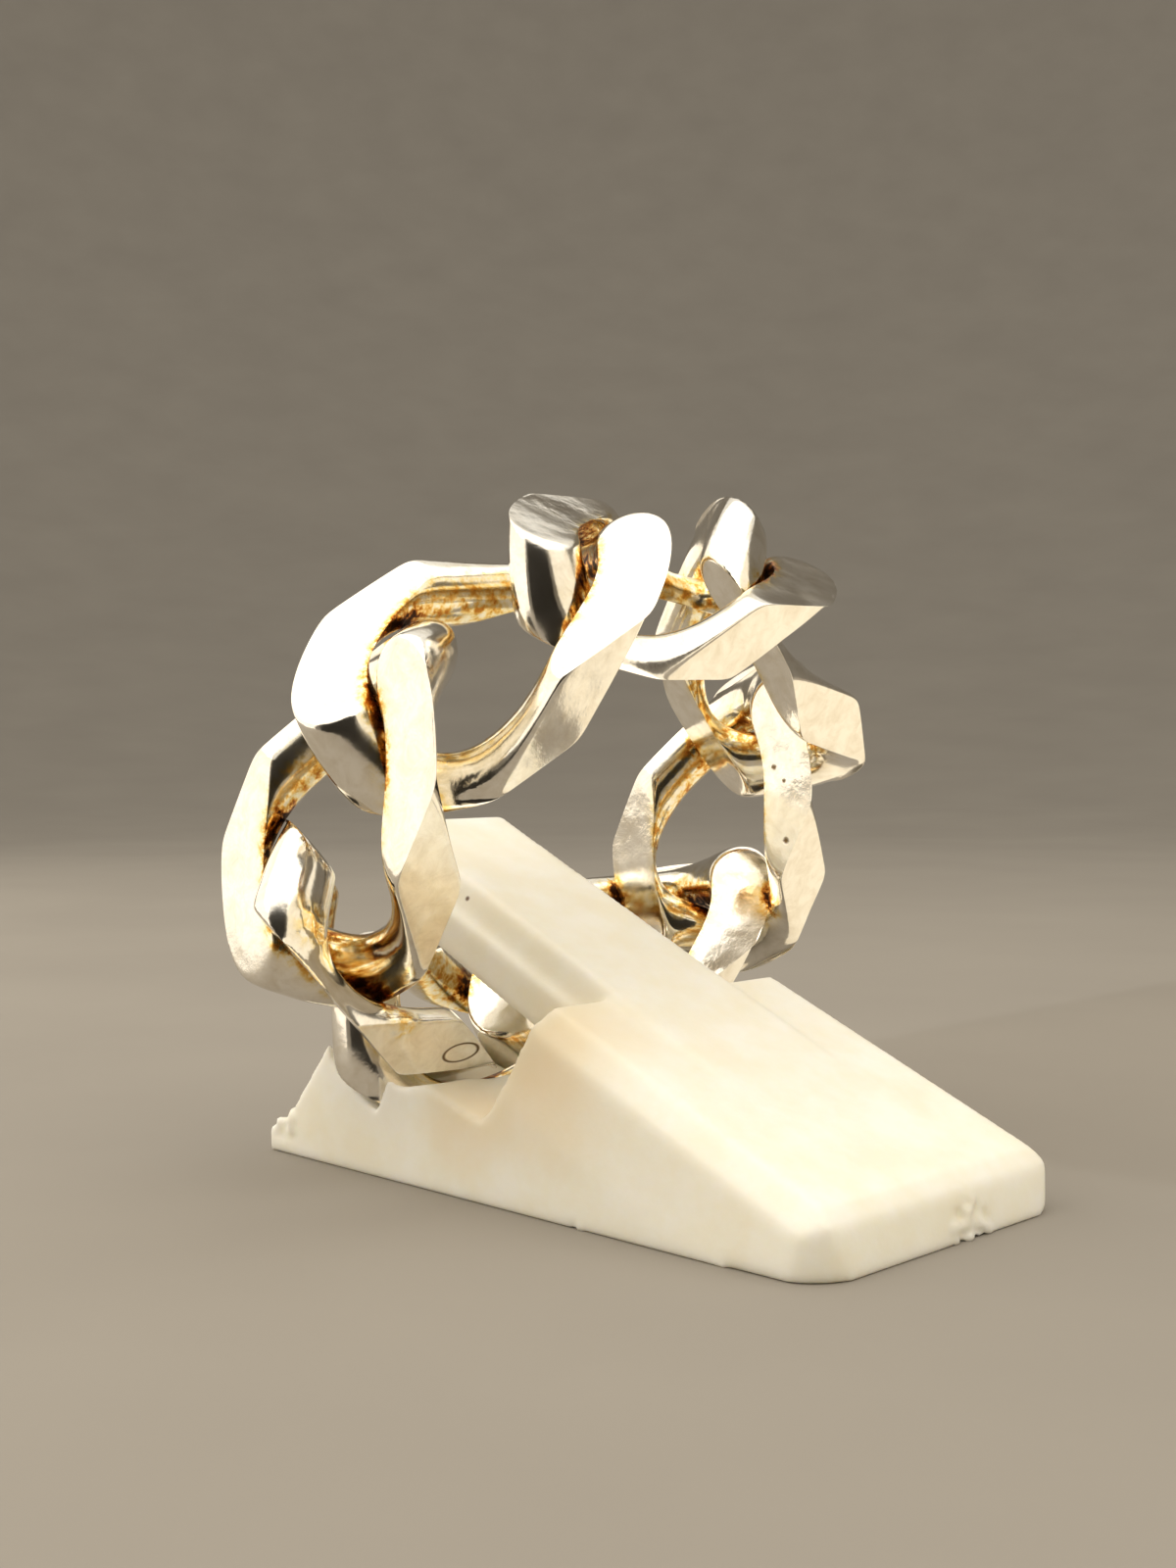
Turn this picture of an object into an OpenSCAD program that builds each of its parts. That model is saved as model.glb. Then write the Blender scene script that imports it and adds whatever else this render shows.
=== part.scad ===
// A curb chain link ring of eight twisted silver links, closed into a loop, on its plain white wedge stand.
// +X points down the stand towards its low nose, +Z is up, and the origin is the middle of the base.

/* [Chain] */
// Distance from one link's middle to the next one's, along the chain
pitch = 9.2; // [9:0.1:9.4]
// Play left between the ends of two links
link_play = 0.6; // [0.55:0.01:0.65]
// Width of the ring's band, ground flat on both rims
band_w = 10; // [9.6:0.1:10.2]
// Depth of the ground bore facets below a link's middle
bore_flat = 1.7; // [1.5:0.1:1.8]
// Height of the ground outer facets above a link's middle
outer_flat = 1.65; // [1.5:0.05:1.7]

/* [Link] */
// Half distance between the middles of a link's two bars
bar_offset = 4.7; // [4.65:0.05:4.9]
// How square a link's plan is, where 2 is an ellipse
plan_power = 2.7; // [2.6:0.1:3]
// Half width of a bar in the link's plane
bar_half_w = 1.5; // [1.2:0.05:1.6]
// Half thickness of a bar before it is ground flat
bar_half_t = 1.7; // [1.5:0.1:1.8]
// Half width of a link's rounded ends
end_half_w = 1.64; // [1.6:0.02:1.7]
// Half thickness of a link's rounded ends
end_half_t = 1.32; // [1.2:0.02:1.34]
// Twist of a link about its long axis, in degrees per millimetre
twist_rate = 9.3; // [9.2:0.1:9.5]
// Twist that the ends of a link level out at, in degrees
twist_end = 68; // [64:1:70]

/* [Ring on the stand] */
// Lean of the ring's axis down towards the nose, in degrees
ring_lean = 29.5; // [29:0.1:30]
// Forward position of the ring's middle
ring_x = 2.7; // [2.6:0.1:2.8]
// Lean of the near upright link, in degrees
first_angle = 86.5; // [86:0.5:87]
// Bends between neighbouring links, in degrees, from the near link over the top
bends = [47, 38, 52, 37, 53, 43, 39]; // [30:1:60]

/* [Stand] */
// Width of the stand
stand_w = 15.4; // [15:0.1:16]
// X of the heel at the back
heel_x = -8.3; // [-9:0.1:-8.2]
// X of the nose at the front
nose_x = 22.4; // [22:0.1:24]
// Height of the nose's front face
nose_h = 2.7; // [2.4:0.1:3]
// X of the shoulder, where the tongue leaves the body
shoulder_x = 8.7; // [8.6:0.1:9]
// Height of the shoulder
shoulder_z = 7.9; // [7.6:0.1:8]
// X of the tongue's free end
tongue_x = -5.2; // [-5.6:0.1:-5]
// Height of the tongue's free end
tongue_z = 14.7; // [14.4:0.1:15]
// Half width of the tongue's top face
tongue_top = 3.3; // [3:0.1:3.4]
// Half width of the tongue's underside
tongue_low = 4.2; // [4:0.1:4.4]
// Thickness of the tongue, square to its slope
tongue_t = 3.1; // [2.8:0.1:3.2]
// Bevel along the body's top edges
bevel = 0.9; // [0.6:0.1:1.2]
// X of the jaw's top corner at the back
jaw_x = -3.3; // [-3.6:0.1:-3]
// Height of the jaw's top corner at the back
jaw_z = 6; // [5.6:0.1:6.2]
// Height of the jaw's top at the slot's root
root_z = 3.3; // [3:0.1:3.6]
// Thickness of the base under the ring
seat_floor = 1.1; // [0.8:0.05:1.3]
// Gap between the ring and the seat it lies in
ring_gap = 0.25; // [0.2:0.05:0.4]

/* [Hidden] */
silver = "#d9d8d4";
plastic = "#f3efe6";
// rings of points along a link and points around its section
steps = 44;
sides = 14;
link_half_l = (pitch + 2 * end_half_w + link_play) / 2;
mid_x = (heel_x + nose_x) / 2;
// sideways place of the ring, which centres the whole on Y
ring_side = 0.114;

function spow(x, e) = sign(x) * pow(abs(x), e);
function tanh(x) = 1 - 2 / (exp(2 * x) + 1);
function clamp(x, lo, hi) = min(max(x, lo), hi);
function sum_to(v, n) = n <= 0 ? 0 : v[n - 1] + sum_to(v, n - 1);

// directions of the links in the ring's plane, and the corners where one pitch ends and the next begins
function dir_angle(k) = first_angle - sum_to(bends, k);
function corner(k) = k <= 0 ? [0, 0] : corner(k - 1) + pitch * [cos(dir_angle(k - 1)), sin(dir_angle(k - 1))];
loop_mid = [for (c = [0, 1]) (corner(0)[c] + corner(1)[c] + corner(2)[c] + corner(3)[c]
    + corner(4)[c] + corner(5)[c] + corner(6)[c] + corner(7)[c]) / 8];
function link_mid(k) = (corner(k) + corner(k + 1)) / 2 - loop_mid;

// plan of a link: point at angle t on its rounded centreline, and the outward direction there
function plan_r(t) = pow(pow(abs(cos(t)) / link_half_l, plan_power)
    + pow(abs(sin(t)) / bar_offset, plan_power), -1 / plan_power);
function plan_pt(t) = plan_r(t) * [cos(t), sin(t)];
function plan_grad(p) = [spow(p[0], plan_power - 1) / pow(link_half_l, plan_power),
    spow(p[1], plan_power - 1) / pow(bar_offset, plan_power)];
function plan_out(p) = plan_grad(p) / norm(plan_grad(p));

// section point g at plan angle t: along, across and up from the link's middle, before the twist
function sect(p, o, g) = let(f = abs(o[0]),
    a = bar_half_w * (1 - f) + end_half_w * f,
    b = bar_half_t * (1 - f) + end_half_t * f)
    [p[0] + a * cos(g) * o[0], p[1] + a * cos(g) * o[1], b * sin(g)];
// twist about the long axis
function twisted(q) = let(w = twist_end * tanh(twist_rate * q[0] / twist_end))
    [q[0], q[1] * cos(w) - q[2] * sin(w), q[1] * sin(w) + q[2] * cos(w)];
// a point held inside the four ground flats
function ground(q) = [q[0], clamp(q[1], -band_w / 2, band_w / 2), clamp(q[2], -bore_flat, outer_flat)];
function link_points() = [for (i = [0 : steps - 1])
    let(t = 360 * i / steps, p = plan_pt(t), o = plan_out(p))
    for (j = [0 : sides - 1]) twisted(sect(p, o, 360 * (j + 0.5) / sides))];
function link_faces() = [for (i = [0 : steps - 1], j = [0 : sides - 1])
    let(a = i * sides + j, b = i * sides + (j + 1) % sides,
        c = ((i + 1) % steps) * sides + j, d = ((i + 1) % steps) * sides + (j + 1) % sides)
    for (f = [[a, b, d], [a, d, c]]) f];

// a link stood in the ring: along the chain, across the band, and outwards
function ring_y(d) = [0, 1, 0] * d;
function ring_u(d) = [sin(ring_lean), 0, cos(ring_lean)] * d;
function ring_a(d) = [cos(ring_lean), 0, -sin(ring_lean)] * d;
function ring_pt(q, k) = let(f = dir_angle(k), m = link_mid(k))
    ring_y(m[0]) + ring_u(m[1])
    + (ring_y(cos(f)) + ring_u(sin(f))) * q[0] + ring_a(q[1])
    + (ring_y(-sin(f)) + ring_u(cos(f))) * q[2];
// the three lowest links settle how high the ring sits, and the seat follows them at a gap
low_pts = [for (k = [5 : 7], q = link_points()) ring_pt(ground(q), k)];
ring_z = seat_floor + ring_gap - min([for (p = low_pts) p[2]]);
function grown(q) = [for (c = ground(q)) c + ring_gap * sign(c)];
function in_ring(q, k) = [ring_x - mid_x, ring_side, ring_z] + ring_pt(q, k);

// the twisted wire, cut by the planes of the two rims, the bore and the outside
module ground_wire()
{
    intersection() {
        polyhedron(points = link_points(), faces = link_faces(), convexity = 6);
        translate([-pitch, -band_w / 2, -bore_flat])
            cube([2 * pitch, band_w, bore_flat + outer_flat]);
    }
}

module curb_link(k)
{
    o = in_ring([0, 0, 0], k);
    m = [for (e = [[1, 0, 0], [0, 1, 0], [0, 0, 1]]) in_ring(e, k) - o];
    color(silver)
        multmatrix([for (r = [0 : 2]) [m[0][r], m[1][r], m[2][r], o[r]]])
            ground_wire();
}

// slopes of the tongue and the body
tongue_slope = (shoulder_z + 0.3 - tongue_z) / (shoulder_x - tongue_x);
under_off = tongue_t / cos(atan(tongue_slope));
body_slope = (nose_h - shoulder_z) / (nose_x - 1.5 - shoulder_x);
function tongue_line(x) = tongue_z + (x - tongue_x) * tongue_slope;

// side view of the body: heel, jaw, slot's root, sloping top and nose
module body_side()
{
    polygon([[heel_x, 0],
             [heel_x, 1.1],
             [-6.7, 1.95],
             [jaw_x, jaw_z],
             [5.8, root_z],
             [6.4, root_z + 0.5],
             [shoulder_x - 1, shoulder_z - 2],
             [shoulder_x + 2, shoulder_z + 4],
             [nose_x - 2.3, shoulder_z + 4],
             [nose_x - 2.3, nose_h + 1.3],
             [nose_x - 0.3, nose_h - 0.9],
             [nose_x, 0]]);
}

// side view of the tongue, down to where it ends inside the body
module tongue_side()
{
    polygon([[tongue_x, tongue_z],
             [16, tongue_line(16)],
             [16, 2.5],
             [10, 3.5],
             [8.5, 5],
             [6.1, tongue_line(6.1) - under_off],
             [tongue_x + 1.2, tongue_line(tongue_x + 1.2) - under_off]]);
}

// a side view made into a slab of width w
module side_slab(w)
{
    translate([-mid_x, w / 2, 0])
        rotate([90, 0, 0])
            linear_extrude(w)
                children();
}

// a section, with its top at height 0, laid along the slope that starts at point p
module along_slope(p, slope, l0, l1)
{
    translate([p[0] - mid_x, 0, p[1]])
        rotate([0, -atan(slope), 0])
            rotate([90, 0, 90])
                translate([0, 0, -l0])
                    linear_extrude(l0 + l1)
                        children();
}

// section of the body, with bevelled top edges
module body_section()
{
    h = stand_w / 2;
    polygon([[-h, -20], [-h, -4], [-h + 0.3, -bevel], [-h + 0.3 + bevel, 0],
             [h - 0.3 - bevel, 0], [h - 0.3, -bevel], [h, -4], [h, -20]]);
}

// section of the tongue, narrower at the top, with a small step on each side
module tongue_section()
{
    polygon([[-tongue_top, 0], [-tongue_low + 0.4, -1.2], [-tongue_low, -1.3], [-tongue_low, -11],
             [tongue_low, -11], [tongue_low, -1.3], [tongue_low - 0.4, -1.2], [tongue_top, 0]]);
}

// plan of the body, with rounded corners at the nose
module body_plan()
{
    r = 2.2;
    translate([-mid_x, 0, -1])
        linear_extrude(14)
            hull() {
                translate([heel_x - 1, -stand_w / 2])
                    square([1, stand_w]);
                for (s = [-1, 1])
                    translate([nose_x - r, s * (stand_w / 2 - r)])
                        circle(r, $fn = 32);
            }
}

// seat for the ring: the room of the three lowest links, open along the way the ring lifts out
module seat_cut()
{
    intersection() {
        for (k = [5 : 7])
            hull()
                for (lift = [0, 20])
                    polyhedron(points = [for (q = link_points()) in_ring(grown(q), k) + ring_u(lift)],
                               faces = link_faces());
        translate([-40, -20, seat_floor])
            cube([60, 40, 30]);
    }
}

module display_stand()
{
    color(plastic)
        union() {
            difference() {
                intersection() {
                    side_slab(stand_w + 2) body_side();
                    along_slope([shoulder_x, shoulder_z], body_slope, 40, 40) body_section();
                    body_plan();
                }
                seat_cut();
            }
            intersection() {
                side_slab(3 * tongue_low) tongue_side();
                along_slope([tongue_x, tongue_z], tongue_slope, 3, 26) tongue_section();
            }
        }
}

curb_link(0);  // link_1
curb_link(1);  // link_2
curb_link(2);  // link_3
curb_link(3);  // link_4
curb_link(4);  // link_5
curb_link(5);  // link_6
curb_link(6);  // link_7
curb_link(7);  // link_8
display_stand();
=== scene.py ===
# %% [markdown]
# A chain link ring on its display stand.
# The ring is a closed loop of eight curb links in polished sterling silver. Each link is a bent
# oval of wire that was twisted, and then ground flat on four sides, so that the links lie together
# as a smooth band. The stand is a small white wedge, moulded in one piece, with a tongue that goes
# through the ring. Every length below is in millimetres, and one factor turns it into metres.

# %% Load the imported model
import math

import bpy
import bmesh
from mathutils import Matrix, Vector, noise
from mathutils.bvhtree import BVHTree


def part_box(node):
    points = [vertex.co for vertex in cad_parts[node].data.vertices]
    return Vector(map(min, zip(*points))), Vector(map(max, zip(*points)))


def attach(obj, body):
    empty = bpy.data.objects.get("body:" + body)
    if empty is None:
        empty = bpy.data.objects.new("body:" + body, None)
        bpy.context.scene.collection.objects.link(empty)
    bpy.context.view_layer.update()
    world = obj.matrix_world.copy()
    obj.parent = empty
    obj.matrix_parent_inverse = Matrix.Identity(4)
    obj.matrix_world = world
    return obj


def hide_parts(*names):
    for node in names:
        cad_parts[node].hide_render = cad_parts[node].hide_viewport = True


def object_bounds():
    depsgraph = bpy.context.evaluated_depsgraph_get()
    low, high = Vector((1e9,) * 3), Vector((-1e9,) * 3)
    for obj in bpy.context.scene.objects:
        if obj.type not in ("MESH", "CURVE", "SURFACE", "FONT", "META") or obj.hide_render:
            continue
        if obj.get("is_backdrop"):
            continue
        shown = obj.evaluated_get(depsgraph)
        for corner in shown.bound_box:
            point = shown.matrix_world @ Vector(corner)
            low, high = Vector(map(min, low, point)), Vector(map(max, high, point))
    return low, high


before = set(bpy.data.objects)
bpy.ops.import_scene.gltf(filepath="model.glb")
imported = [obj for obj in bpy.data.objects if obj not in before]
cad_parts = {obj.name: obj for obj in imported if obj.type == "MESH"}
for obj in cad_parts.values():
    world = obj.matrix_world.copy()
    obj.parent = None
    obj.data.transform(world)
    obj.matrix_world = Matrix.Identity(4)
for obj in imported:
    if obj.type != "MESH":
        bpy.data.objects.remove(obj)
cad_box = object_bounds()
MM = 0.001
print("nodes:", sorted(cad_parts))

# %% [markdown]
# The camera comes first, because everything is judged through it. The photograph was taken close
# up, level with the ring, looking across the stand from its near corner. The lens and the distance,
# 8 cm, were matched to it together, because both change the perspective of so small an object.

# %% Camera
PHOTO_H = 1600
FOCAL_PX = 1848.1
SENSOR = 36.0
AZIMUTH, ELEVATION, ROLL = 45.21, 1.11, -0.34
TARGET = Vector((-7.05, 4.13, 16.11)) * MM
DISTANCE = 82.62 * MM


def look(azimuth, elevation, roll):
    a, e, r = (math.radians(v) for v in (azimuth, elevation, roll))
    back = Vector((math.sin(a) * math.cos(e), -math.cos(a) * math.cos(e), math.sin(e)))
    right = Vector((math.cos(a), math.sin(a), 0))
    up = back.cross(right)
    right, up = right * math.cos(r) + up * math.sin(r), up * math.cos(r) - right * math.sin(r)
    return Matrix((right, up, back)).transposed()


camera = bpy.data.objects.new("camera", bpy.data.cameras.new("camera"))
bpy.context.scene.collection.objects.link(camera)
bpy.context.scene.camera = camera
camera.data.sensor_width = SENSOR
camera.data.lens = SENSOR * FOCAL_PX / PHOTO_H
camera.data.clip_start, camera.data.clip_end = 0.002, 10
turn = look(AZIMUTH, ELEVATION, ROLL)
camera.matrix_world = Matrix.Translation(TARGET + turn.col[2] * DISTANCE) @ turn.to_4x4()
print("camera at", [round(v / MM, 1) for v in camera.matrix_world.translation], "mm")

# %% [markdown]
# Four small helpers serve every material. The first turns an ordinary sRGB hex colour into the
# linear light that shaders work in. The second adds one node with its settings and its links. The
# third starts a material with one shader and its output. The fourth makes a soft round spot at a
# place on the object, for pits, solder, stains and specks, which need no painted image.

# %% Colour and node helpers


def linear(code):
    parts = [int(code[i : i + 2], 16) / 255 for i in (1, 3, 5)]
    light = [c / 12.92 if c <= 0.04045 else ((c + 0.055) / 1.055) ** 2.4 for c in parts]
    return (*light, 1.0)


def add(tree, kind, values=None, links=None, **settings):
    node = tree.nodes.new("ShaderNode" + kind)
    for name, value in settings.items():
        setattr(node, name, value)
    for socket, value in (values or {}).items():
        node.inputs[socket].default_value = value
    for socket, source in (links or {}).items():
        tree.links.new(source, node.inputs[socket])
    return node


def new_material(name):
    material = bpy.data.materials.new(name)
    material.use_nodes = True
    tree = material.node_tree
    tree.nodes.clear()
    shader = add(tree, "BsdfPrincipled")
    add(tree, "OutputMaterial", links={"Surface": shader.outputs["BSDF"]})
    return material, tree, shader


def fading_spot(tree, place, point, inner, outer, strength):
    # strength within inner of the point, fading to 0 at outer, all lengths in millimetres
    far = add(tree, "VectorMath", {1: Vector(point) * MM}, {0: place}, operation="DISTANCE")
    limits = {
        "From Min": inner * MM,
        "From Max": outer * MM,
        "To Min": strength,
        "To Max": 0.0,
    }
    return add(tree, "MapRange", limits, {"Value": far.outputs["Value"]}).outputs[0]


print("middle grey #808080 is", round(linear("#808080")[0], 3), "in linear light")

# %% [markdown]
# Silver. Sterling silver that was ground and then polished on a soft wheel is a bright metal with
# a faint warmth, and so smooth that it mirrors the room. The wheel doesn't reach the wall of a
# link's hole, so a sulphide film grows there, thin and gold at first, then brown, then nearly
# black. Each link's mesh carries two values for it: shelter, high where another link is close, and
# hole_wall, high on the side that faces the link's own hole. A painted image could do this too, but
# the two values fit the shape exactly and need no picture.

# %% Where the silver is marked
ALONG_RING, UP_FLAT = Vector((0, 1, 0)), Vector((0.492, 0, 0.870))
OVAL_MIDDLE, OVAL_HALF = Vector((-3.87, -6.35, 5.47)) * MM, (0.9 * MM, 0.45 * MM)
OVAL_REACH = 0.3 * MM
PITS = (((-0.46, 9.42, 16.83), 0.16), ((0.1, 9.43, 16.22), 0.12), ((0.11, 9.5, 13.53), 0.2))
SOLDER = (((-4.13, -13.31, 11.08), 1.5), ((-2.98, -9.87, 7.11), 1.1))
print("marks:", len(PITS), "pits,", len(SOLDER), "lumps of solder and one bare oval")

# %% Where the film grows on polished sterling silver
silver, tree, shader = new_material("polished_sterling_silver")
place = add(tree, "TexCoord").outputs["Object"]
shelter = add(tree, "Attribute", attribute_name="shelter").outputs["Fac"]
hole_wall = add(tree, "Attribute", attribute_name="hole_wall").outputs["Fac"]
CLOUD = 0.5 * MM
CLOSENESS_POWER, HOLE_FILM, SOLDER_FILM = 2.8, 0.46, 0.34
clouds = add(
    tree, "TexNoise", {"Scale": 1 / CLOUD, "Detail": 7.0, "Roughness": 0.66}, {"Vector": place}
)
patchy = add(
    tree,
    "MapRange",
    {"From Min": 0.38, "From Max": 0.62, "To Min": 0.25, "To Max": 1.5},
    {"Value": clouds.outputs["Fac"]},
)
closest = add(tree, "Math", {1: CLOSENESS_POWER}, {0: shelter}, operation="POWER")
hidden = add(
    tree,
    "Math",
    {1: HOLE_FILM},
    {0: hole_wall, 2: closest.outputs[0]},
    operation="MULTIPLY_ADD",
)
for point, radius in SOLDER:
    spot = fading_spot(tree, place, point, 0.3 * radius, radius, SOLDER_FILM)
    hidden = add(tree, "Math", {}, {0: hidden.outputs[0], 1: spot}, operation="ADD")
film = add(tree, "Math", {}, {0: hidden.outputs[0], 1: patchy.outputs[0]}, operation="MULTIPLY")
print("film nodes:", len(tree.nodes))

# %% Colour of the film as it thickens
FILM_COLOURS = (
    (0.2, "#f6eeda"),
    (0.34, "#f4e2ae"),
    (0.5, "#e6b862"),
    (0.69, "#bd7a30"),
    (0.86, "#824818"),
)
film_colour = add(tree, "ValToRGB", {}, {"Fac": film.outputs[0]})
stops = film_colour.color_ramp.elements
stops[0].position, stops[0].color = 0.0, linear("#f6f2e9")
stops[1].position, stops[1].color = 1.0, linear("#3a2010")
for position, code in FILM_COLOURS:
    stop = stops.new(position)
    stop.color = linear(code)
print("film stops:", len(stops))

# %% Pits in one link's flat
marks = None
for point, radius in PITS:
    pit = fading_spot(tree, place, point, 0.4 * radius, radius, 1.0)
    if marks is None:
        marks = pit
    else:
        marks = add(tree, "Math", {}, {0: marks, 1: pit}, operation="MAXIMUM").outputs[0]
print("pits:", len(PITS))

# %% The bare oval, a fine groove
from_oval = add(tree, "VectorMath", {1: OVAL_MIDDLE}, {0: place}, operation="SUBTRACT")
squares = []
for axis, half in ((ALONG_RING, OVAL_HALF[0]), (UP_FLAT, OVAL_HALF[1])):
    reach = add(
        tree, "VectorMath", {1: axis / half}, {0: from_oval.outputs[0]}, operation="DOT_PRODUCT"
    )
    squares.append(
        add(tree, "Math", {1: 2.0}, {0: reach.outputs["Value"]}, operation="POWER").outputs[0]
    )
oval_size = add(tree, "Math", {}, {0: squares[0], 1: squares[1]}, operation="ADD")
groove = add(tree, "Math", {1: 1.0}, {0: oval_size.outputs[0]}, operation="SUBTRACT")
groove = add(tree, "Math", {}, {0: groove.outputs[0]}, operation="ABSOLUTE")
groove = add(
    tree,
    "MapRange",
    {"From Min": 0.08, "From Max": 0.26, "To Min": 1.0, "To Max": 0.0},
    {"Value": groove.outputs[0]},
)
depth_away = add(
    tree,
    "VectorMath",
    {1: ALONG_RING.cross(UP_FLAT)},
    {0: from_oval.outputs[0]},
    operation="DOT_PRODUCT",
)
depth_away = add(tree, "Math", {}, {0: depth_away.outputs["Value"]}, operation="ABSOLUTE")
on_flat = add(tree, "Math", {1: OVAL_REACH}, {0: depth_away.outputs[0]}, operation="LESS_THAN")
groove = add(tree, "Math", {}, {0: groove.outputs[0], 1: on_flat.outputs[0]}, operation="MULTIPLY")
marks = add(tree, "Math", {}, {0: marks, 1: groove.outputs[0]}, operation="MAXIMUM").outputs[0]
print("the oval is", 2 * OVAL_HALF[0] / MM, "mm long")

# %% Fine scuffs and the colour of the metal
SCUFF = 1.0 * MM
scuffs = add(
    tree,
    "TexNoise",
    {"Scale": 1 / SCUFF, "Detail": 8.0, "Roughness": 0.7, "Distortion": 0.5},
    {"Vector": place},
)
haze = add(
    tree,
    "MapRange",
    {"From Min": 0.42, "From Max": 0.72, "To Min": 0.0, "To Max": 0.6},
    {"Value": scuffs.outputs["Fac"]},
)
hazed = add(
    tree,
    "Mix",
    {"B": linear("#d6ccb8")},
    {"Factor": haze.outputs[0], "A": film_colour.outputs["Color"]},
    data_type="RGBA",
    blend_type="MULTIPLY",
)
marked = add(
    tree,
    "Mix",
    {"B": linear("#6f5b42")},
    {"Factor": marks, "A": hazed.outputs["Result"]},
    data_type="RGBA",
)
tree.links.new(marked.outputs["Result"], shader.inputs["Base Color"])
shader.inputs["Metallic"].default_value = 1.0
print("scuffs about", SCUFF / MM, "mm across")

# %% How smooth the silver is
SMUDGE, WHEEL_LINE, WAVE = 2.2 * MM, 0.15 * MM, 1.6 * MM
FILM_ROUGHNESS, WAVE_SHARE, MARK_SHARE = 0.42, 11.0, -9.0
RELIEF = 0.008 * MM
smudges = add(tree, "TexNoise", {"Scale": 1 / SMUDGE, "Detail": 5.0}, {"Vector": place})
polish = add(
    tree,
    "MapRange",
    {"From Min": 0.35, "From Max": 0.7, "To Min": 0.07, "To Max": 0.2},
    {"Value": smudges.outputs["Fac"]},
)
dulled = add(
    tree, "Math", {1: FILM_ROUGHNESS, 2: 0.0}, {0: film.outputs[0]}, operation="MULTIPLY_ADD"
)
rough = add(tree, "Math", {}, {0: polish.outputs[0], 1: dulled.outputs[0]}, operation="MAXIMUM")
tree.links.new(rough.outputs[0], shader.inputs["Roughness"])
wheel_lines = add(
    tree, "TexNoise", {"Scale": 1 / WHEEL_LINE, "Detail": 3.0}, {"Vector": place}
)
waves = add(tree, "TexNoise", {"Scale": 1 / WAVE, "Detail": 2.0}, {"Vector": place})
relief = add(
    tree,
    "Math",
    {1: WAVE_SHARE},
    {0: waves.outputs["Fac"], 2: wheel_lines.outputs["Fac"]},
    operation="MULTIPLY_ADD",
)
relief = add(
    tree, "Math", {1: MARK_SHARE}, {0: marks, 2: relief.outputs[0]}, operation="MULTIPLY_ADD"
)
bump = add(tree, "Bump", {"Strength": 0.3, "Distance": RELIEF}, {"Height": relief.outputs[0]})
tree.links.new(bump.outputs["Normal"], shader.inputs["Normal"])
print("silver nodes:", len(tree.nodes))

# %% [markdown]
# Stand plastic. White impact polystyrene, injection moulded with a satin skin. Light enters it a
# millimetre or two, so its edges glow and its shadows are soft and creamy. A plain diffuse white
# would look like plaster, so it gets some light below the surface. A warm glow beside the ring is
# painted into the colour: a painted reflection and shade of the silver ring, seen in the plastic.
# It and one dark speck follow the photograph.

# %% Moulded white polystyrene
plastic, tree, shader = new_material("moulded_white_polystyrene")
place = add(tree, "TexCoord").outputs["Object"]
FLOW, SKIN, SKIN_RELIEF, LIGHT_DEPTH = 2.4 * MM, 0.28 * MM, 0.02 * MM, 1.6 * MM
mottle = add(
    tree, "TexNoise", {"Scale": 1 / FLOW, "Detail": 5.0, "Roughness": 0.6}, {"Vector": place}
)
cream = add(tree, "ValToRGB", {}, {"Fac": mottle.outputs["Fac"]})
darker, paler = cream.color_ramp.elements
darker.position, darker.color = 0.35, linear("#f8f2e1")
paler.position, paler.color = 0.65, linear("#fcf9ef")
colour = cream.outputs["Color"]
print("mottling about", FLOW / MM, "mm across")

# %% Painted ring reflection and shade, and a speck: place, inner and outer radius, colour, strength
PAINTED_RING_GLOW_AND_SPECK = (
    # the first two are a painted warm reflection and shade of the ring; the third is a real speck
    ((1.6, -7.0, 6.0), 1.0, 5.0, "#eed6a8", 0.6),
    ((-2.2, -7.0, 3.6), 0.6, 3.4, "#ead0a0", 0.4),
    ((-6.62, -3.56, 11.38), 0.06, 0.14, "#6f5136", 1.0),
)
# paint the ring's warm reflection and shade, then the speck, over the mottled cream
for point, inner, outer, code, strength in PAINTED_RING_GLOW_AND_SPECK:
    spot = fading_spot(tree, place, point, inner, outer, strength)
    mixed = add(
        tree, "Mix", {"B": linear(code)}, {"Factor": spot, "A": colour}, data_type="RGBA"
    )
    colour = mixed.outputs["Result"]
tree.links.new(colour, shader.inputs["Base Color"])
print("painted_ring_glows and specks:", len(PAINTED_RING_GLOW_AND_SPECK))

# %% Its satin skin and the light below it
gloss = add(
    tree,
    "MapRange",
    {"From Min": 0.35, "From Max": 0.65, "To Min": 0.38, "To Max": 0.5},
    {"Value": mottle.outputs["Fac"]},
)
tree.links.new(gloss.outputs[0], shader.inputs["Roughness"])
shader.inputs["IOR"].default_value = 1.59
shader.inputs["Subsurface Weight"].default_value = 0.4
shader.inputs["Subsurface Radius"].default_value = (1.0, 0.88, 0.68)
shader.inputs["Subsurface Scale"].default_value = LIGHT_DEPTH
skin = add(tree, "TexNoise", {"Scale": 1 / SKIN, "Detail": 3.0}, {"Vector": place})
bump = add(
    tree, "Bump", {"Strength": 0.3, "Distance": SKIN_RELIEF}, {"Height": skin.outputs["Fac"]}
)
tree.links.new(bump.outputs["Normal"], shader.inputs["Normal"])
print("plastic nodes:", len(tree.nodes))

# %% [markdown]
# One link. Wire round an oval plan, flatter and wider at the two ends than along the two bars, is
# twisted about the link's long axis, and ground flat on four sides: the ring's two rims, the bore
# and the outside. The CAD part has the same link with few faces. Here it is made fine enough for a
# mirror finish, and each flat ends in a shoulder 0.12 mm wide, as a polishing wheel leaves it. A
# bevel on the CAD's facets would follow their coarse steps, so the flats are worked out for each
# point instead.

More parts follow.
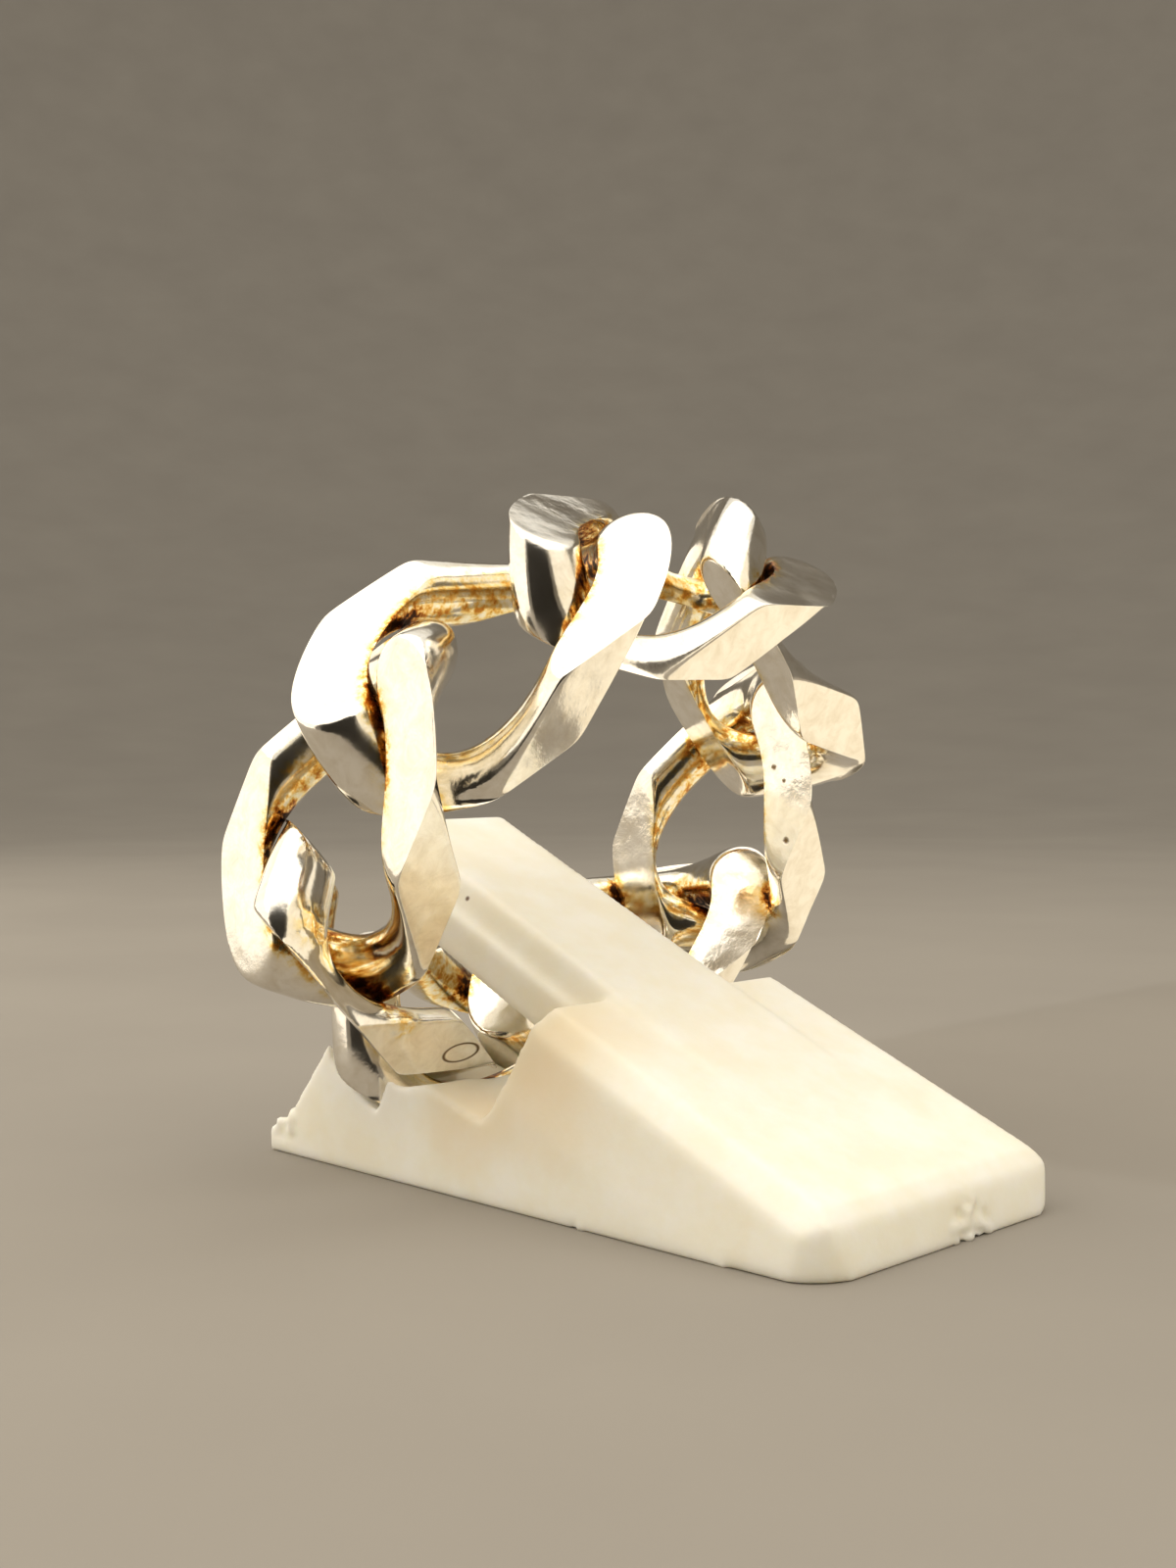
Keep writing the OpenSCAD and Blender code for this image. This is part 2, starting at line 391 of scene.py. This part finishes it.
# %% The link's sizes
PITCH, PLAY, BAND = 9.2, 0.6, 10.0
BORE_FLAT, OUTER_FLAT = 1.7, 1.65
BAR_OFFSET, PLAN_POWER = 4.7, 2.7
BAR_HALF_W, BAR_HALF_T = 1.5, 1.7
END_HALF_W, END_HALF_T = 1.64, 1.32
TWIST_RATE, TWIST_END = 9.3, 68.0
LINK_HALF = (PITCH + 2 * END_HALF_W + PLAY) / 2
SHOULDER, FAR_OVER = 0.12, 30
STEPS, SIDES, WALL_POWER = 200, 80, 1.5
print("from the link's middle to its wire's middle at an end:", round(LINK_HALF, 2), "mm")

# %% A point on its wire


def plan_point(angle):
    c, s = math.cos(angle), math.sin(angle)
    shape = abs(c / LINK_HALF) ** PLAN_POWER + abs(s / BAR_OFFSET) ** PLAN_POWER
    size = shape ** (-1 / PLAN_POWER)
    x, y = size * c, size * s
    out = Vector(
        (
            math.copysign(abs(x) ** (PLAN_POWER - 1), x) / LINK_HALF**PLAN_POWER,
            math.copysign(abs(y) ** (PLAN_POWER - 1), y) / BAR_OFFSET**PLAN_POWER,
        )
    )
    return Vector((x, y)), out.normalized()


def soft_limit(value, limit):
    # the value, eased off so that it never passes the limit
    over = (value - limit) / SHOULDER
    if over > FAR_OVER:
        return limit
    return value - SHOULDER * math.log1p(math.exp(over))


def wire_point(at, out, around):
    end = abs(out.x)
    wide = BAR_HALF_W * (1 - end) + END_HALF_W * end
    tall = BAR_HALF_T * (1 - end) + END_HALF_T * end
    x, y = at + out * (wide * math.cos(around))
    z = tall * math.sin(around)
    twist = math.radians(TWIST_END * math.tanh(TWIST_RATE * x / TWIST_END))
    across = y * math.cos(twist) - z * math.sin(twist)
    rise = y * math.sin(twist) + z * math.cos(twist)
    across = math.copysign(soft_limit(abs(across), BAND / 2), across)
    rise = soft_limit(rise, OUTER_FLAT)
    return x, across, -soft_limit(-rise, BORE_FLAT)


outermost = wire_point(*plan_point(0.0), 0.0)
print("outermost point of the wire:", [round(v, 2) for v in outermost])

# %% Build one link


def ground_link():
    mesh = bmesh.new()
    wall = mesh.verts.layers.float.new("hole_wall")
    rings = []
    for i in range(STEPS):
        at, out = plan_point(2 * math.pi * i / STEPS)
        ring = []
        for j in range(SIDES):
            around = 2 * math.pi * (j + 0.5) / SIDES
            vert = mesh.verts.new(wire_point(at, out, around))
            vert[wall] = max(0.0, -math.cos(around)) ** WALL_POWER
            ring.append(vert)
        rings.append(ring)
    for i in range(STEPS):
        here, there = rings[i], rings[(i + 1) % STEPS]
        for j in range(SIDES):
            k = (j + 1) % SIDES
            mesh.faces.new((here[j], there[j], there[k], here[k]))
    for face in mesh.faces:
        face.smooth = True
    bmesh.ops.recalc_face_normals(mesh, faces=mesh.faces[:])
    return mesh


link_master = ground_link()
link_volume = round(link_master.calc_volume(), 1)
print("one link:", len(link_master.faces), "faces, volume", link_volume, "mm3")

# %% [markdown]
# The loop. The chain isn't a true circle. It hangs on the stand with a different bend at each
# joint, so each link has its own direction in the ring's plane. The plane leans back, because the
# tongue slopes. The loop's middle is found from the corners where one pitch ends and the next
# begins.

# %% The ring's plane and the bend at each joint
LINKS = 8
BENDS = (47, 38, 52, 37, 53, 43, 39)
FIRST_ANGLE = 86.5
LEAN = math.radians(29.5)
RING_MIDDLE = Vector((-4.35, 0.114, 14.801))
ACROSS = Vector((0, 1, 0))
UP_RING = Vector((math.sin(LEAN), 0, math.cos(LEAN)))
ALONG_AXIS = Vector((math.cos(LEAN), 0, -math.sin(LEAN)))


def in_plane(angle):
    a = math.radians(angle)
    return ACROSS * math.cos(a) + UP_RING * math.sin(a)


angles = [FIRST_ANGLE - sum(BENDS[:k]) for k in range(LINKS)]
corners = [Vector((0, 0, 0))]
for angle in angles:
    corners.append(corners[-1] + in_plane(angle) * PITCH)
middle = sum(corners[:LINKS], Vector((0, 0, 0))) / LINKS
print("the chain closes within", round((corners[LINKS] - corners[0]).length, 2), "mm")

# %% Where a link lies


def link_frame(k):
    along, out = in_plane(angles[k]), in_plane(angles[k] + 90)
    turned = Matrix((along, ALONG_AXIS, out)).transposed().to_4x4()
    centre = (corners[k] + corners[k + 1]) / 2 - middle + RING_MIDDLE
    return Matrix.Translation(centre) @ turned


print("middle of link_1:", [round(v, 2) for v in link_frame(0).translation], "mm")

# %% A function that adds a piece to the part


def add_piece(name, mesh, material, node):
    data = bpy.data.meshes.new(name)
    mesh.to_mesh(data)
    mesh.free()
    data.materials.append(material)
    piece = bpy.data.objects.new(name, data)
    bpy.context.scene.collection.objects.link(piece)
    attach(piece, "root")
    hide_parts(node)
    print(name, "has", len(data.polygons), "faces")


# %% Copy the link to its eight places
link_meshes = []
for k in range(LINKS):
    mesh = link_master.copy()
    put = Matrix.Diagonal((MM, MM, MM, 1)) @ link_frame(k)
    bmesh.ops.transform(mesh, matrix=put, verts=mesh.verts)
    bmesh.ops.reverse_faces(mesh, faces=mesh.faces[:])
    link_meshes.append(mesh)
    box_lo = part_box(f"link_{k + 1}")[0]
    off = max(abs(min(v.co[c] for v in mesh.verts) - box_lo[c]) for c in range(3))
    print(f"link_{k + 1}: lowest corner within {off / MM:.2f} mm of the CAD's")

# %% [markdown]
# Hand work. The flats were ground by hand on a wheel, so they are never quite flat, and a mirror
# finish shows it at once in its bent reflections. A slow noise of up to two hundredths of a
# millimetre gives that without changing the outline. The last link was closed with solder, which
# stands up by a tenth of a millimetre in small lumps that nobody filed away.

# %% Hand grinding and solder
WOBBLE, WOBBLE_SIZE = 0.022 * MM, 2.0 * MM
LUMP_HEIGHT, LUMP_GRAIN, LUMP_SHARE = 0.16 * MM, 0.35 * MM, 0.7
SOLDERED = 7  # counted from 0, so this is link_8
for k, mesh in enumerate(link_meshes):
    mesh.normal_update()
    moves = []
    for vert in mesh.verts:
        move = WOBBLE * noise.noise(vert.co / WOBBLE_SIZE)
        if k == SOLDERED:
            for point, radius in SOLDER:
                away = (vert.co - Vector(point) * MM).length
                near = 1 - away / (LUMP_SHARE * radius * MM)
                if near > 0:
                    lump = 0.5 + 0.5 * noise.noise(vert.co / LUMP_GRAIN)
                    move += LUMP_HEIGHT * min(1.0, 2 * near) * lump
        moves.append(vert.normal * move)
    for vert, move in zip(mesh.verts, moves):
        vert.co += move
    furthest = max(move.length for move in moves) / MM
    print(f"link_{k + 1}: moved by up to {furthest:.3f} mm")

# %% [markdown]
# Shelter. A polishing wheel can't get in between two links, so the film stays there. How near the
# next link is says how sheltered a place is. It is measured once and stored on the mesh, where the
# silver's film reads it.

# %% Where the polishing wheel can't reach
REACH = 1.5 * MM
trees = [BVHTree.FromBMesh(mesh) for mesh in link_meshes]
for k, mesh in enumerate(link_meshes):
    layer = mesh.verts.layers.float.new("shelter")
    beside = [trees[(k - 1) % LINKS], trees[(k + 1) % LINKS]]
    for vert in mesh.verts:
        near = min((t.find_nearest(vert.co, REACH)[3] or REACH) for t in beside)
        vert[layer] = 1 - near / REACH
    sheltered = sum(vert[layer] > 0.5 for vert in mesh.verts) / len(mesh.verts)
    print(f"link_{k + 1}: {sheltered:.0%} of its points are well sheltered")

# %% Make the eight pieces
for k, mesh in enumerate(link_meshes):
    add_piece(f"silver_link_{k + 1}", mesh, silver, f"link_{k + 1}")

# %% [markdown]
# The stand. The CAD solid has the right planes with sharp edges. The moulding's edges are softly
# rounded, so a copy of its mesh is remeshed into small even faces and smoothed a little. Cheap
# moulding also leaves thin flash and nicks along the lower edges, which a noise on a few small
# spots gives.

# %% The moulded stand
VOXEL = 0.17 * MM
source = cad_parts["display_stand"]
body = source.copy()
body.data = source.data.copy()
body.name = "moulded_stand"
body.parent = None
bpy.context.scene.collection.objects.link(body)
remesh = body.modifiers.new("even_faces", "REMESH")
remesh.mode, remesh.voxel_size, remesh.use_smooth_shade = "VOXEL", VOXEL, True
soften = body.modifiers.new("round_edges", "SMOOTH")
soften.factor, soften.iterations = 0.5, 8
graph = bpy.context.evaluated_depsgraph_get()
stand_data = bpy.data.meshes.new_from_object(body.evaluated_get(graph))
body.modifiers.clear()
body.data = stand_data
body.data.materials.clear()
body.data.materials.append(plastic)
for polygon in body.data.polygons:
    polygon.use_smooth = True
print("remeshed at", round(VOXEL / MM, 2), "mm:", len(body.data.polygons), "faces")

# %% Moulding flash and nicks along its edges: place, radius, height
FLASH = (
    ((15.3, 1.3, 0.3), 1.5, 0.3),
    ((-14.3, -7.6, 1.5), 1.3, 0.25),
    ((4.0, -7.7, 0.1), 0.5, 0.2),
)
FLASH_GRAIN = 0.45 * MM
ragged = 0
for vert in body.data.vertices:
    for point, radius, height in FLASH:
        near = 1 - (vert.co - Vector(point) * MM).length / (radius * MM)
        if near > 0:
            rough = noise.noise(vert.co / FLASH_GRAIN)
            vert.co += vert.normal * height * MM * min(1.0, 2 * near) * rough
            vert.co.z = max(0.0, vert.co.z)
            ragged += 1
print("points in the flash and the nicks:", ragged)

# %% The stand's place in the part
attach(body, "root")
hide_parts("display_stand")
print("stand:", len(body.data.polygons), "faces")

# %% [markdown]
# The table. A pale satin sheet is flat under the part and curves up far behind it, all round, so no
# edge shows from any side. Its tone drifts a little over a few centimetres, as painted board does.
# It is built as a bowl of hoops, because one smooth curve is easier to state than a bent plane.

# %% Satin board, painted: a broad soft highlight and no mirror image
DRIFT = 30 * MM
table, tree, shader = new_material("pale_satin_table")
place = add(tree, "TexCoord").outputs["Object"]
grain = add(tree, "TexNoise", {"Scale": 1 / DRIFT, "Detail": 4.0}, {"Vector": place})
tone = add(tree, "ValToRGB", {}, {"Fac": grain.outputs["Fac"]})
tone.color_ramp.elements[0].color = linear("#8c867e")
tone.color_ramp.elements[1].color = linear("#99938a")
tree.links.new(tone.outputs["Color"], shader.inputs["Base Color"])
shader.inputs["Roughness"].default_value = 0.7
shader.inputs["Specular IOR Level"].default_value = 0.25
print("tone drifts over about", round(DRIFT / MM), "mm")

# %% The bowl's shape, its two sizes in metres
FLAT_RADIUS, CURVE, RISES, TURNS = 0.3, 0.9, 18, 96
profile = [(FLAT_RADIUS, 0.0)]
for i in range(1, RISES + 1):
    a = math.radians(90 * i / RISES)
    profile.append((FLAT_RADIUS + CURVE * math.sin(a), CURVE - CURVE * math.cos(a)))
bowl = bmesh.new()
hoops = []
for radius, height in profile:
    hoop = []
    for i in range(TURNS):
        a = 2 * math.pi * i / TURNS
        hoop.append(bowl.verts.new((radius * math.cos(a), radius * math.sin(a), height)))
    hoops.append(hoop)
bowl.faces.new(hoops[0]).smooth = True
for low, high in zip(hoops, hoops[1:]):
    for i in range(TURNS):
        k = (i + 1) % TURNS
        bowl.faces.new((low[i], high[i], high[k], low[k])).smooth = True
floor_data = bpy.data.meshes.new("table")
bowl.to_mesh(floor_data)
bowl.free()
floor_data.materials.append(table)
floor = bpy.data.objects.new("table", floor_data)
bpy.context.scene.collection.objects.link(floor)
floor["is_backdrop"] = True
print("table:", len(floor_data.polygons), "faces")

# %% [markdown]
# Light. Polished silver shows only what is round it, so the light is placed by what each facet
# mirrors: a low soft box at the left for the facets that face left and right, one overhead, and a
# smaller one at the right. The pale room gives the rest, so shadows stay soft.

# %% Soft boxes and the room
AIMED_AT = Vector((-3, 0, 12)) * MM


def soft_box(name, place_mm, size_mm, power, colour):
    lamp = bpy.data.lights.new(name, "AREA")
    lamp.shape, lamp.size, lamp.size_y = "RECTANGLE", size_mm[0] * MM, size_mm[1] * MM
    lamp.energy, lamp.color = power, linear(colour)[:3]
    holder = bpy.data.objects.new(name, lamp)
    bpy.context.scene.collection.objects.link(holder)
    holder.location = Vector(place_mm) * MM
    holder.rotation_mode = "QUATERNION"
    aim = AIMED_AT - holder.location
    holder.rotation_quaternion = aim.to_track_quat("-Z", "Y")
    holder.visible_camera = False
    print(name, "radiance about", round(power / math.pi / (lamp.size * lamp.size_y), 2))


soft_box("over_light", (10, -20, 230), (420, 360), 0.46, "#fff7ea")
soft_box("left_light", (-122, -104, 60), (360, 240), 0.34, "#fff6e6")
soft_box("right_light", (170, 60, 90), (190, 190), 0.11, "#fff4de")
world = bpy.data.worlds.new("studio")
world.use_nodes = True
bpy.context.scene.world = world
world.node_tree.nodes["Background"].inputs["Color"].default_value = linear("#fcf6ea")
world.node_tree.nodes["Background"].inputs["Strength"].default_value = 0.98
bpy.context.scene.view_settings.view_transform = "Standard"

# %% [markdown]
# Cards. A dark card at the camera stands in for the dark camera that a real ring mirrors, and makes
# the dark bands. A pale card lies on the table behind the ring, because the rim flats look down
# there. Only the silver sees the two cards, so neither lights the stand nor throws a shadow.

# %% Cards that only the silver mirrors


def mirrored_card(name, code, left, right, bottom, top, where):
    paint, tree, shader = new_material(name)
    shader.inputs["Base Color"].default_value = linear(code)
    shader.inputs["Roughness"].default_value = 0.8
    data = bpy.data.meshes.new(name)
    outline = [(left, bottom, 0), (right, bottom, 0), (right, top, 0), (left, top, 0)]
    data.from_pydata([Vector(v) * MM for v in outline], [], [(0, 1, 2, 3)])
    data.materials.append(paint)
    card = bpy.data.objects.new(name, data)
    bpy.context.scene.collection.objects.link(card)
    card.matrix_world = where
    card.visible_camera = card.visible_diffuse = card.visible_shadow = False
    card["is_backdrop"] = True
    print(name, right - left, "by", top - bottom, "mm")


BEHIND_CAMERA, OVER_TABLE = 6 * MM, 1 * MM
at_camera = Matrix.Translation(turn.col[2] * BEHIND_CAMERA) @ camera.matrix_world
mirrored_card("dark_card", "#24211d", -58, 40, -16, 62, at_camera)
mirrored_card("pale_card", "#f0e9da", -14, 40, 14, 80, Matrix.Translation((0, 0, OVER_TABLE)))

# %% [markdown]
# Sizes. The looks must not change what the part measures, so the box of the CAD and the box of the
# finished model are both measured, and their difference is printed.

# %% Measure the sizes and print the change
new_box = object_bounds()
change = max(abs(a - b) for old, new in zip(cad_box, new_box) for a, b in zip(old, new))
print("the finished model's box is within", round(change / MM, 2), "mm of the CAD's")
